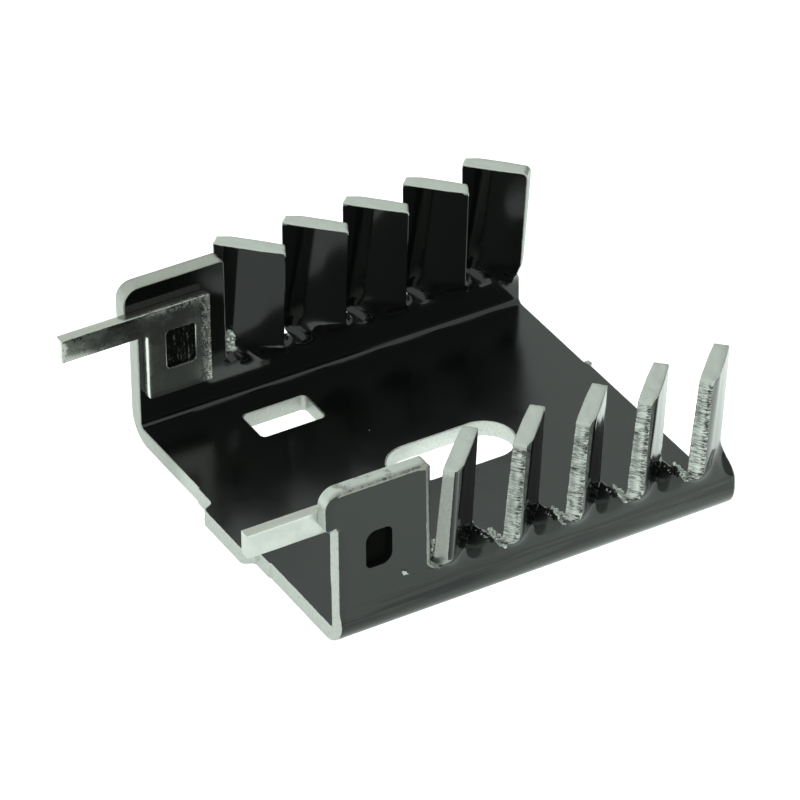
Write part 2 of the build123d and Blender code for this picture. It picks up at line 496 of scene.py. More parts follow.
def makeTornFinish(name, values):
    # torn edges: either bare metal with dark pits, or coat with a few bare flecks
    material, tree, shader = newMaterial(name)
    place = millimetres(tree)
    specks = speckles(place, 7.0, values["threshold"][name])[0]
    feed(shader, {
        "Base Color": mixColour(specks, values["colour"][name], values["fleck"][name]),
        "Metallic": values["metallic"][name],
        "Roughness": values["roughness"][name],
        "IOR": values["ior"][name],
        "Normal": bump(noiseField(place, 9.0, 4, 0.7), 0.6, 0.04),
    })
    return material


coatedSheet = makeCoatedSheet(coatValues)
pressedFace = makePressedFace(pressedValues)
tinPlate = makeTinPlate(tinValues)
tornMetal, tornCoat = (makeTornFinish(name, tornValues) for name in ("tornMetal", "tornCoat"))
print("materials ready")


# The folded sheet: cut out flat as the press does, then folded and twisted

sheetValues = {
    "thickness": 1.2,
    "bendInside": 0.4,
    "bendOutside": 2.1,
    "width": 28.6,
    "height": 12.5,
    "pinEnd": -16.65,
    "finEndRight": 13.43,
    "finEndLeft": 13.25,
    "standoff": 0.9,
    "tongueTip": 2.63,
    "tongueRoot": 3.0,
    "shoulder": 4.85,
    "shoulderReach": 0.1,
    "overhang": 9.7,
    "tabEnd": -9.9,
    "wallFoot": 2.2,
    "finRoot": 4.1,
    "slitBottom": 4.5,
    "slotWidth": 4.3,
    "slotLength": 9.4,
    "window": (-9.35, -7.67, 2.95, 4.85, (0.35, 0.35, 0.35, 0.35)),
    "nub": (-4.3, 0.5, 0.25),
    "pocket": (-13.75, 7.35, 1.95, 2.85, (0.42, 0.8, 0.45, 0.8), 0.55),
    "stake": (-13.75, 7.35, 2.16, 2.96, (0.3, 0.3, 0.3, 0.3), 0.55),
    "edgeRound": 0.06,
    "rollOver": 0.3,
    "topRollOver": 0.17,
    "rootSlant": 0.3,
    "leftSlant": 0.33,
    "ragged": 0.14,
    "rimUnevenness": 0.035,
    "spacing": 0.3,
    "sharpAngle": 32,
}

finValues = {
    "count": 5,
    "firstRoot": -9.0,
    "firstStart": -9.8,
    "firstCut": -4.63,
    "pitch": 4.72,
    "rootGap": 0.05,
    "neck": 0.35,
    "leftStartNeck": 0.03,
    "lowLevel": 5.15,
    "lowTwist": 39.5,
    "topTwist": 44.5,
    "lowShiftIn": 0.35,
    "topShiftIn": -0.12,
    "lowShiftBack": 0.35,
    "topShiftBack": 0.08,
    "firstShiftBack": 0.15,
    "lip": 1.1,
    "lipBow": 0.1,
    "lowPinchedEdge": 1.15,
    "topPinchedEdge": 0.92,
    "freeEdge": 1.05,
    "rootReachDown": 0.7,
    "rootReachUp": 0.95,
    "endReachDown": 1.4,
    "rootDrop": 0.35,
}


def roundCorners(corners, step=0.1):
    # corners are (across, along, radius) in order round the shape
    points = []
    count = len(corners)
    for i, (x, y, radius) in enumerate(corners):
        here = Vector((x, y))
        if radius <= 0:
            points.append(here)
            continue
        before = Vector(corners[i - 1][:2])
        after = Vector(corners[(i + 1) % count][:2])
        toBefore = (before - here).normalized()
        toAfter = (after - here).normalized()
        corner = toBefore.angle(toAfter)
        reach = radius / math.tan(corner / 2)
        middle = here + (toBefore + toAfter).normalized() * (radius / math.sin(corner / 2))
        first = here + toBefore * reach - middle
        turn = first.angle_signed(here + toAfter * reach - middle)
        pieces = max(3, int(abs(turn) * radius / step))
        for k in range(pieces + 1):
            points.append(middle + Matrix.Rotation(-turn * k / pieces, 2) @ first)
    return points


def fillIn(points, step):
    # extra points so that no side is longer than step
    out = []
    for i, here in enumerate(points):
        after = points[(i + 1) % len(points)]
        parts = max(1, math.ceil((after - here).length / step))
        for k in range(parts):
            out.append(here.lerp(after, k / parts))
    return out


def blankLevel(values, level):
    # distance across the flat blank from its middle to a height on the folded wall
    outer = values["bendOutside"]
    middleRadius = outer - values["thickness"] / 2
    return values["width"] / 2 - outer + middleRadius * math.pi / 2 + level - outer


def cutLines(fins):
    return [fins["firstCut"] + i * fins["pitch"] for i in range(fins["count"] - 1)]


def finEdges(fins, wallEnd):
    # for each fin: root start, root end, free start, free end, along the blank
    cuts, gap = cutLines(fins), fins["rootGap"]
    rootEnds = [cut - gap for cut in cuts] + [wallEnd]
    edges = [(fins["firstRoot"], rootEnds[0], fins["firstStart"], cuts[0])]
    return edges + [(cut + gap, end, cut, cut + fins["pitch"]) for cut, end in zip(cuts, rootEnds[1:])]


def halfOutline(sheet, fins, wallEnd, startNeck):
    # right half of the blank's outline, from the tongue round to the fin end
    top, root, slit, step = (
        blankLevel(sheet, sheet[name]) for name in ("height", "finRoot", "slitBottom", "overhang")
    )
    low, pinEnd = blankLevel(sheet, fins["lowLevel"]), sheet["pinEnd"]
    tip = pinEnd - sheet["standoff"]
    shoulder = pinEnd - sheet["shoulderReach"]
    corners = [
        (sheet["tongueTip"], tip, 0.45),
        (sheet["tongueRoot"], shoulder, 0.35),
        (sheet["shoulder"], shoulder, 0.0),
        (sheet["shoulder"] + 0.1, pinEnd, 0.0),
        (step, pinEnd, 0.25),
        (step, tip, 0.25),
        (top, tip, 1.15),
        (top, sheet["tabEnd"], 0.35),
        (slit, sheet["tabEnd"], 0.4),
        (slit, fins["firstRoot"], 0.4),
    ]
    edges = finEdges(fins, wallEnd)
    for i, (rootStart, rootEnd, start, end) in enumerate(edges):
        last = i == fins["count"] - 1
        if i:
            corners.append((root, rootStart, 0.0))
        corners.append((low, start + (startNeck if i else fins["neck"]), 0.0))
        corners.append((top, start + 0.01, 0.1))
        corners.append((top, end - 0.01, 0.4 if last else 0.12))
        corners.append((low, end - (0.55 if last else fins["neck"]), 0.0))
        corners.append((root, rootEnd, 0.0))
    corners.append((10.0, wallEnd, 0.0))
    return corners


def blankOutline(sheet, fins):
    right = halfOutline(sheet, fins, sheet["finEndRight"], fins["neck"])
    left = [(-x, y, r) for x, y, r in halfOutline(sheet, fins, sheet["finEndLeft"], fins["leftStartNeck"])][::-1]
    nubX, nubWidth, nubReach = sheet["nub"]
    nubTop = sheet["finEndRight"] + nubReach
    nub = [
        (nubX + nubWidth / 2, sheet["finEndRight"], 0.0),
        (nubX + nubWidth / 2 - 0.08, nubTop, 0.08),
        (nubX - nubWidth / 2, nubTop - 0.05, 0.1),
        (nubX - nubWidth / 2, sheet["finEndLeft"], 0.0),
    ]
    return fillIn(roundCorners(right + nub + left), sheet["spacing"])


def slotOutline(width, length):
    reach = length / 2 - width / 2
    points = []
    for start, middle in ((0, reach), (math.pi, -reach)):
        for k in range(49):
            angle = start + math.pi * k / 48
            points.append(Vector((math.cos(angle) * width / 2, math.sin(angle) * width / 2 + middle)))
    return points


def boxOutline(x, y, width, length, radii):
    # the corner radii run round from the low, near corner
    a, b = width / 2, length / 2
    corners = [(x - a, y - b), (x + a, y - b), (x + a, y + b), (x - a, y + b)]
    return roundCorners([corner + (radius,) for corner, radius in zip(corners, radii)], 0.06)


def loopNormals(points):
    normals = []
    for i, here in enumerate(points):
        before = (here - points[i - 1]).normalized()
        after = (points[(i + 1) % len(points)] - here).normalized()
        direct = before + after
        if direct.length < 1e-6:
            direct = before
        direct.normalize()
        spread = max(0.5, direct.dot(before))
        normals.append(Vector((direct.y, -direct.x)) / spread)
    return normals


def insideLoop(places, loop):
    # even-odd test for many places at once
    px, py = places[:, 0][:, None], places[:, 1][:, None]
    corners = np.array([(p.x, p.y) for p in loop])
    x0, y0 = corners[:, 0][None, :], corners[:, 1][None, :]
    after = np.roll(corners, -1, axis=0)
    x1, y1 = after[:, 0][None, :], after[:, 1][None, :]
    crosses = (y0 > py) != (y1 > py)
    with np.errstate(divide="ignore", invalid="ignore"):
        at = (x1 - x0) * (py - y0) / (y1 - y0) + x0
    return (np.sum(crosses & (px < at), axis=1) % 2) == 1


def insideShape(places, outline, holes):
    inside = insideLoop(places, outline)
    for hole in holes:
        inside &= ~insideLoop(places, hole)
    return inside


def nearestGap(places, loops):
    # distance from each place to the nearest outline point
    corners = np.array([(p.x, p.y) for loop in loops for p in loop])
    gaps = np.empty(len(places))
    for i in range(0, len(places), 2000):
        part = places[i:i + 2000]
        gaps[i:i + 2000] = np.sqrt(((part[:, None, :] - corners[None, :, :]) ** 2).sum(axis=2)).min(axis=1)
    return gaps


def triangulate(outline, holes, spacing):
    # evenly filled triangles inside the outline; the loops come first in the points
    loops = [outline] + holes
    corners = np.array([(p.x, p.y) for p in outline])
    low, high = corners.min(axis=0), corners.max(axis=0)
    xs = np.arange(low[0] + spacing / 2, high[0], spacing)
    ys = np.arange(low[1] + spacing / 2, high[1], spacing * 0.866)
    grid = np.array([(x + (spacing / 2 if j % 2 else 0), y) for j, y in enumerate(ys) for x in xs])
    grid = grid[insideShape(grid, outline, holes)]
    grid = grid[nearestGap(grid, loops) > spacing * 0.6]
    points = [p.copy() for loop in loops for p in loop] + [Vector((x, y)) for x, y in grid]
    edges, start = [], 0
    for loop in loops:
        edges += [(start + i, start + (i + 1) % len(loop)) for i in range(len(loop))]
        start += len(loop)
    result = geometry.delaunay_2d_cdt(points, edges, [], 1, 1e-6, True)
    vertices, triangles, origins = result[0], result[2], result[3]
    where = {old: new for new, olds in enumerate(origins) for old in olds}
    middles = np.array([[sum(vertices[i].x for i in t) / 3, sum(vertices[i].y for i in t) / 3] for t in triangles])
    kept = []
    for t, fine in zip(triangles, insideShape(middles, outline, holes)):
        a, b, c = (vertices[i] for i in t)
        if fine:
            kept.append(tuple(t) if (b - a).cross(c - a) > 0 else tuple(reversed(t)))
    return vertices, kept, where


class BlankMesh:
    # collects a flat piece's vertices and faces, each vertex's distance from a cut edge and its place on the
    # plain outline, and each face's finish
    def __init__(self):
        self.places, self.faces, self.gaps, self.finishes, self.homes = [], [], [], [], []

    def add(self, x, y, w, gap, home=None):
        self.places.append((x, y, w))
        self.gaps.append(gap)
        self.homes.append((x, y) if home is None else (home.x, home.y))
        return len(self.places) - 1

    def face(self, outline, holes, w, upward, spacing, cutLoops=(), finish=0):
        # one flat face of the sheet; returns the vertex numbers of its loops
        vertices, triangles, where = triangulate(outline, holes, spacing)
        places = np.array([(v.x, v.y) for v in vertices])
        gaps = nearestGap(places, cutLoops) if cutLoops else np.ones(len(places))
        numbers = [self.add(v.x, v.y, w, float(g)) for v, g in zip(vertices, gaps)]
        self.faces += [tuple(numbers[i] for i in (t if upward else reversed(t))) for t in triangles]
        self.finishes += [finish] * len(triangles)
        loops, start = [], 0
        for loop in [outline] + holes:
            loops.append([numbers[where[start + i]] for i in range(len(loop))])
            start += len(loop)
        return loops

    def rim(self, rows, finish=0):
        # four-sided faces between each loop and the next
        for first, second in zip(rows, rows[1:]):
            for i in range(len(first)):
                j = (i + 1) % len(first)
                self.faces.append((first[i], first[j], second[j], second[i]))
                self.finishes.append(finish)


def moved(points, normals, amount):
    return [p + n * amount for p, n in zip(points, normals)]


def roughRim(points, normals, w, amount):
    # the sheared edge wanders a little between its two faces
    wander = [noise.noise(Vector((p.x * 1.7, p.y * 1.7, w * 2.5 + 3.1))) for p in points]
    return [p + n * (amount * much) for p, n, much in zip(points, normals, wander)]


def rollOverAt(p, normal, sheet, fins):
    # the outer edges of the right-hand tab and of the first fin are rolled over where the press went in
    wallFoot, top = blankLevel(sheet, sheet["wallFoot"]), blankLevel(sheet, sheet["height"])
    firstFin = fins["firstStart"] - 0.1 < p.y < fins["firstRoot"] + 0.3 and p.x < top - 0.02
    if p.x < wallFoot or not (p.y < sheet["tabEnd"] - 0.3 or firstFin):
        return sheet["edgeRound"]
    if normal.y > 0.5:
        return sheet["topRollOver"]
    share = 1.0 if firstFin else min(1.0, abs(normal.y))
    full = sheet["topRollOver"] + (sheet["rollOver"] - sheet["topRollOver"]) * share
    return min(full, sheet["edgeRound"] + (p.x - wallFoot) * 0.3)


def leanAt(p, w, sheet, cuts):
    # how far a place of the outline leans at a depth in the sheet
    above = abs(p.x) - blankLevel(sheet, sheet["finRoot"])
    lean = Vector((0, 0))
    for cut in cuts:
        near, ahead = 1 - abs(p.y - cut) / 0.35, cut - p.y
        if near > 0 and -0.3 < above < 0.9:
            # the torn bottom of each cut slopes: it is higher on the inner face
            lift = sheet["rootSlant"] * w / sheet["thickness"] * min(1.0, near * 1.6)
            lean.x = math.copysign(lift * max(0.0, 1 - max(0.0, above) / 0.9), p.x)
        if p.x < 0 <= above and 0 < ahead < 0.9:
            # the free edges of the left-hand fins lean: they are shorter on the outer face
            free = min(1.0, (0.9 - ahead) / 0.5)
            lean.y = -sheet["leftSlant"] * (1 - w / sheet["thickness"]) * free * min(1.0, above / 0.6)
    return lean


def raggedAt(p, sheet, cuts):
    # how far the inner edge of a sheared fin side is broken back, at a place of the outline
    low, top = blankLevel(sheet, sheet["finRoot"]) + 0.3, blankLevel(sheet, sheet["height"]) - 0.3
    if not low <= p.x <= top or not any(0 < p.y - cut < 0.45 for cut in cuts):
        return 0.0
    return sheet["ragged"] * (0.5 + noise.noise(Vector((p.x * 2.4, p.y * 0.7, 1.7))))


def onLeftFree(p, sheet, cuts):
    # whether a place of the outline is on a free edge of the left-hand fins
    low, top = blankLevel(sheet, sheet["finRoot"]) - 0.1, blankLevel(sheet, sheet["height"]) - 0.15
    return low < -p.x < top and any(-0.1 < cut - p.y < 0.45 for cut in cuts)


def buildBlank(sheet, fins):
    blank = BlankMesh()
    t, r, spacing, tabEnd = sheet["thickness"], sheet["edgeRound"], sheet["spacing"], sheet["tabEnd"]
    cuts = cutLines(fins)
    window = fillIn(boxOutline(*sheet["window"]), spacing)
    slot = fillIn(slotOutline(sheet["slotWidth"], sheet["slotLength"]), spacing)
    loops = [blankOutline(sheet, fins), window, slot]
    outward = [loopNormals(loop) for loop in loops]
    rolls = [[r] * len(loop) for loop in loops]
    rolls[0] = [rollOverAt(p, n, sheet, fins) for p, n in zip(loops[0], outward[0])]
    coated = [[0.0] * len(loop) for loop in loops]
    slitFoot = blankLevel(sheet, sheet["slitBottom"] + 0.5)
    for i, (p, n, roll) in enumerate(zip(loops[0], outward[0], rolls[0])):
        if roll > r + 0.02 and not (p.y > tabEnd and abs(p.x) < slitFoot):
            coated[0][i] = max(0.0, -n.y) ** 2
    signs = (-1, 1, 1)

    def ring(k, w, share):
        # one loop of the rim: share is how much of the edge rounding is taken off
        points = []
        for p, n, roll in zip(loops[k], outward[k], rolls[k]):
            lean = leanAt(p, w, sheet, cuts)
            if k == 0 and w > t * 0.7:
                lean -= n * raggedAt(p, sheet, cuts)
            points.append(p + n * (signs[k] * (roll if w < t / 2 else r) * share) + lean)
        return points

    def pressed(name):
        # outlines of a pocket or stake on both tabs
        along, level, width, height, radii, rise = sheet[name]
        across = blankLevel(sheet, level)
        mirrored = (radii[1], radii[0], radii[3], radii[2])
        return [boxOutline(x, along, height, width, own) for x, own in ((across, radii), (-across, mirrored))], rise

    (under, sink), (over, rise) = pressed("pocket"), pressed("stake")
    underRings, overRings = ([ring(k, w, 1.0) for k in range(3)] for w in (0.0, t))
    underLoops = blank.face(underRings[0], underRings[1:] + under, 0.0, False, spacing * 1.15, underRings)
    overLoops = blank.face(overRings[0], overRings[1:] + over, t, True, spacing * 1.15, overRings)
    for loop in underLoops[3:] + overLoops[3:]:
        for number in loop:
            blank.gaps[number] = 1.0

    # rims: eased at both faces and slightly uneven between them
    for k in range(3):
        rows = [underLoops[k]]
        for turn in (30, 60, 90):
            share = 1 - math.sin(math.radians(turn))
            row = []
            for p, n, roll, coat in zip(loops[k], outward[k], rolls[k], coated[k]):
                deep = roll * (1 - math.cos(math.radians(turn)))
                spot = p + n * (signs[k] * roll * share) + leanAt(p, deep, sheet, cuts)
                # rolled sides keep their coat, rolled tops lose it in patches, sharp edges keep a thread of it
                plain = 0.03 if roll > r + 0.02 else 0.05 - turn * 0.0012
                if roll > r + 0.02 and (n.y > 0.5 or (p.y > tabEnd and coat == 0)):
                    plain = -0.2
                gap = plain + (roll * math.radians(90 - turn) - 0.08 - plain) * coat
                row.append(blank.add(spot.x, spot.y, deep, gap, p))
            rows.append(row)
        for number, coat in zip(underLoops[k], coated[k]):
            blank.gaps[number] += 0.5 * coat
        leftFree = [onLeftFree(p, sheet, cuts) for p in loops[k]]
        for number, free in zip(overLoops[k], leftFree):
            blank.gaps[number] += 0.1 * free
        for w in (t * 0.3, t * 0.45, t * 0.6, t * 0.8, t - r):
            uneven = roughRim(ring(k, w, 0.0), outward[k], w, 0.0 if w == t - r else sheet["rimUnevenness"])
            bare = [0.1 if w > t * 0.7 and free else -0.2 for free in leftFree]
            rows.append([blank.add(q.x, q.y, w, gap, p) for p, q, gap in zip(loops[k], uneven, bare)])
        blank.rim(rows + [overLoops[k]])

    # the edge of the right-hand tab along its slit is rubbed bare
    top = blankLevel(sheet, sheet["height"])
    for number, (x, y, w) in enumerate(blank.places):
        if w < 0.01 and 0 < x < top and tabEnd - 0.7 < y < tabEnd + 0.1:
            blank.gaps[number] -= 0.14

    # pockets outside and stakes inside the two tabs
    for loop, edge in zip(under, underLoops[3:]):
        floorLoop = blank.face(moved(loop, loopNormals(loop), -0.1), [], sink, False, spacing, finish=1)[0]
        blank.rim([floorLoop, edge], finish=1)
    for loop, edge in zip(over, overLoops[3:]):
        topLoop = blank.face(moved(loop, loopNormals(loop), -0.05), [], t + rise, True, spacing * 0.5, finish=1)[0]
        blank.rim([edge, topLoop], finish=1)
    return blank


def finNumbers(x, y, sheet, fins):
    # the fin that a place of the blank belongs to: its middle, share across, width, and whether it is first or last
    across = abs(x)
    aboveRoot = across > blankLevel(sheet, sheet["finRoot"]) + 0.02
    start = fins["firstStart"] - 0.05 if aboveRoot else fins["firstRoot"]
    if across < blankLevel(sheet, sheet["wallFoot"]) or y < start:
        return 0.0, 0.0, 0.0, 1.0, 0.0, 0.0, 0.0
    edges = finEdges(fins, sheet["finEndRight"] if x > 0 else sheet["finEndLeft"])
    number = 0
    while number < len(edges) - 1 and y > edges[number][3]:
        number += 1
    rootStart, rootEnd, start, end = edges[number]
    share = (y - (rootStart + rootEnd) / 2) / ((rootEnd - rootStart) / 2)
    belowTop = across < blankLevel(sheet, sheet["height"]) - 0.12
    sheared = 1.0 if number > 0 and belowTop and y < start + 0.7 and share < -0.6 else 0.0
    share = max(-1.0, min(1.0, share))
    return 1.0, (start + end) / 2, share, end - start, float(number == 0), float(number == len(edges) - 1), sheared


def addAttribute(mesh, name, kind, values, domain="POINT"):
    layer = mesh.attributes.new(name, kind, domain)
    layer.data.foreach_set("vector" if kind == "FLOAT_VECTOR" else "value", values)


def blankObject(sheet, fins):
    blank = buildBlank(sheet, fins)
    mesh = meshOf("sheetBlank", blank.places, blank.faces)
    numbers = [finNumbers(x, y, sheet, fins) for x, y in blank.homes]
    names = ("isFin", "finMiddle", "finShare", "finWidth", "isFirst", "isLast", "sheared")
    for column, name in enumerate(names):
        addAttribute(mesh, name, "FLOAT", [row[column] for row in numbers])
    addAttribute(mesh, "edgeGap", "FLOAT", blank.gaps)
    stakes = [1.0 if w > sheet["thickness"] + 0.1 else 0.0 for x, y, w in blank.places]
    addAttribute(mesh, "stakeFace", "FLOAT", stakes)
    addAttribute(mesh, "finish", "INT", blank.finishes, "FACE")
    addAttribute(mesh, "flatPlace", "FLOAT_VECTOR", [value for place in blank.places for value in place])
    return placeObject("folded_sheet", mesh)


def named(tree, name, kind="FLOAT"):
    return Field(addNode(tree, "GeometryNodeInputNamedAttribute", {"Name": name}, data_type=kind))


def vectorMath(operation, first, second):
    inputs = {0: first, "Scale" if operation == "SCALE" else 1: second}
    return Field(addNode(first.tree, "ShaderNodeVectorMath", inputs, operation=operation))


def namedInputs(values, names):
    # the shape and the sizes that a tree takes in: lowShiftIn becomes Low Shift In
    inputs = {"Geometry": "Geometry"}
    for name in names:
        label = "".join(" " + letter if letter.isupper() else letter for letter in name).title()
        inputs[label] = values[name]
    return inputs


def buildFoldTree(material, inputs):
    # folds the flat blank up at both sides and twists its fins; sizes in millimetres
    tree, start, end = newGroup("Fold And Twist", "GeometryNodeTree", inputs, {"Geometry": "Geometry"})

    def size(name):
        return Field(start, name)

    across, along, deep = xyz(Field(addNode(tree, "GeometryNodeInputPosition")))
    distance = sumUp("ABSOLUTE", across)
    thickness, outer, root = size("Thickness"), size("Bend Outside"), size("Fin Root")
    halfThickness = thickness * 0.5
    middleRadius = outer - halfThickness
    flatHalf = size("Width") * 0.5 - outer
    pastFlat = distance - flatHalf
    turn = sumUp("MINIMUM", larger(pastFlat / middleRadius, 0.0), math.pi / 2)
    # the sheet is thicker round the bend, so the inner face turns later and more tightly
    later = deep / thickness * (outer - size("Bend Inside") - thickness)
    radius = outer - deep - later
    before = later * ramp(pastFlat, -1.0, 0.0, smooth=False)
    foldX = sumUp("MINIMUM", distance, flatHalf) + before + radius * sumUp("SINE", turn)
    upright = larger(pastFlat - middleRadius * (math.pi / 2), 0.0)
    after = later * ramp(upright, 0.0, 1.0, 1.0, 0.0, smooth=False)
    level = outer - after - radius * sumUp("COSINE", turn) + upright

    # how far the twist has come at this height; it starts lower in the middle of a fin
    isFin, share, isFirst = named(tree, "isFin"), named(tree, "finShare"), named(tree, "isFirst")
    bulge = 1.0 - sumUp("POWER", sumUp("ABSOLUTE", share), 4.0)
    endSide = named(tree, "isLast") * ramp(share, -0.2, 0.8)
    reachDown = larger(bulge * size("Root Reach Down"), endSide * size("End Reach Down"))
    twisted = isFin * ramp(level, root - reachDown, root + size("Root Reach Up"))
    rise = ramp(level, size("Low Level"), size("Height"), smooth=False)

    def between(name):
        low = size("Low " + name)
        return low + (size("Top " + name) - low) * rise

    angle = sumUp("RADIANS", between("Twist")) * twisted
    shiftIn = between("Shift In") * twisted
    shiftBack = (between("Shift Back") + size("First Shift Back") * isFirst) * twisted

    # the lip along the pin-side edge is pinched and bends back from the rest of the fin
    middle, width, lip = named(tree, "finMiddle"), named(tree, "finWidth"), size("Lip")
    fromMiddle = along - middle
    fromEdge = fromMiddle + width * 0.5
    toFree = width - fromEdge
    bow = sumUp("SMOOTH_MIN", fromEdge / lip, toFree / (width - lip), 0.06) * size("Lip Bow") * twisted
    lipThin = ramp(fromEdge, 0.0, lip, between("Pinched Edge") / thickness, 1.0)
    restThin = ramp(toFree, 0.0, 2.0, size("Free Edge") / thickness, 1.0)
    outward = halfThickness - deep
    offset = outward * ((lipThin * restThin - 1.0) * twisted + 1.0) + bow

    wallMiddle = size("Width") * 0.5 - halfThickness
    sine, cosine = sumUp("SINE", angle), sumUp("COSINE", angle)
    twistX = offset * cosine - fromMiddle * sine + (wallMiddle - shiftIn)
    twistY = fromMiddle * cosine + offset * sine + (middle - shiftBack)
    finalX = (foldX + (twistX - (wallMiddle + outward)) * isFin) * sumUp("SIGN", across)
    finalY = along + (twistY - along) * isFin

    # the torn corner at the pin side of each root is pushed down as it is pushed out
    pushed = larger(share * -1.0 * (1.0 - isFirst), 0.0)
    fade = ramp(level, root + 0.2, root + 2.6, 1.0, 0.0)
    finalZ = level - pushed * fade * twisted * size("Root Drop")

    join = Field(addNode(tree, "ShaderNodeCombineXYZ", {0: finalX, 1: finalY, 2: finalZ}))
    place = vectorMath("SCALE", join, mm)
    shape = Field(addNode(tree, "GeometryNodeSetPosition", {"Geometry": size("Geometry"), "Position": place}))
    shape = Field(addNode(tree, "GeometryNodeRealizeInstances", {0: shape}))
    feed(end, {0: Field(addNode(tree, "GeometryNodeSetMaterial", {"Geometry": shape, "Material": material}))})
    return tree


def applyTree(piece, tree):
    modifier = piece.modifiers.new("Shape", "NODES")
    modifier.node_group = tree
    bpy.context.view_layer.update()
    evaluated = piece.evaluated_get(bpy.context.evaluated_depsgraph_get())
    mesh = bpy.data.meshes.new_from_object(evaluated)
    old = piece.data
    piece.modifiers.remove(modifier)
    piece.data = mesh
    mesh.name = piece.name
    bpy.data.meshes.remove(old)


def shadeByAngle(piece, degrees):
    mesh = piece.data
    mesh.polygons.foreach_set("use_smooth", [True] * len(mesh.polygons))
    mesh.set_sharp_from_angle(angle=math.radians(degrees))


foldSizes = (
    "thickness", "bendInside", "bendOutside", "width", "height", "finRoot", "lowLevel", "lowTwist", "topTwist",
    "lowShiftIn", "topShiftIn", "lowShiftBack", "topShiftBack", "firstShiftBack", "lip", "lipBow",
    "lowPinchedEdge", "topPinchedEdge", "freeEdge", "rootReachDown", "rootReachUp", "endReachDown", "rootDrop",
)


def makeSheet(sheet, fins):
    piece = blankObject(sheet, fins)
    applyTree(piece, buildFoldTree(coatedSheet, namedInputs({**sheet, **fins}, foldSizes)))
    piece.data.materials.append(pressedFace)
    finishes = np.zeros(len(piece.data.polygons), dtype=np.int32)
    piece.data.attributes["finish"].data.foreach_get("value", finishes)
    piece.data.polygons.foreach_set("material_index", finishes)
    shadeByAngle(piece, sheet["sharpAngle"])
    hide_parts("folded_heat_sink")
    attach(piece, "root")
    print("folded sheet:", len(piece.data.polygons), "faces")


makeSheet(sheetValues, finValues)


# Torn metal at the roots of the cuts, left by the press: shards half sunk in the sheet

shardValues = {
    "seed": 11,
    "shardSize": 1.0,
    "jaggedness": 0.06,
    "tumble": 0.6,
    "rimStart": 14.15,
    "rimEnd": 4.85,
    "humpPeaks": (0.6, 0.5, 0.6, 0.45),
    "humpHeight": 0.32,
    "humpShards": 46,
    "shelfShards": 40,
    "footShards": 12,
    "edgeShards": 8,
    "slitShards": 44,
    "chip": (14.33, -11.94, 4.62),
    "dust": ((4.6, 3.2), (8.2, 6.3), (2.4, -12.8), (-4.9, -3.5), (7.4, -9.1)),
}


def freeEdgeAt(number, cut, level, fins, sheet):
    # outer corner of a fin's free edge at a height, on the right-hand wall
    rise = (level - fins["lowLevel"]) / (sheet["height"] - fins["lowLevel"])

    def between(low, high):
        return low + (high - low) * rise

    twist = math.radians(between(fins["lowTwist"], fins["topTwist"]))
    start = cut - fins["pitch"] if number else fins["firstStart"]
    half = (cut - start) / 2 - between(fins["neck"], 0)
    middleX = sheet["width"] / 2 - sheet["thickness"] / 2 - between(fins["lowShiftIn"], fins["topShiftIn"])
    middleY = (start + cut) / 2 - between(fins["lowShiftBack"], fins["topShiftBack"])
    middleY -= 0 if number else fins["firstShiftBack"]
    outX, outY = math.cos(twist) * fins["freeEdge"] / 2, math.sin(twist) * fins["freeEdge"] / 2
    return middleX - math.sin(twist) * half + outX, middleY + math.cos(twist) * half + outY


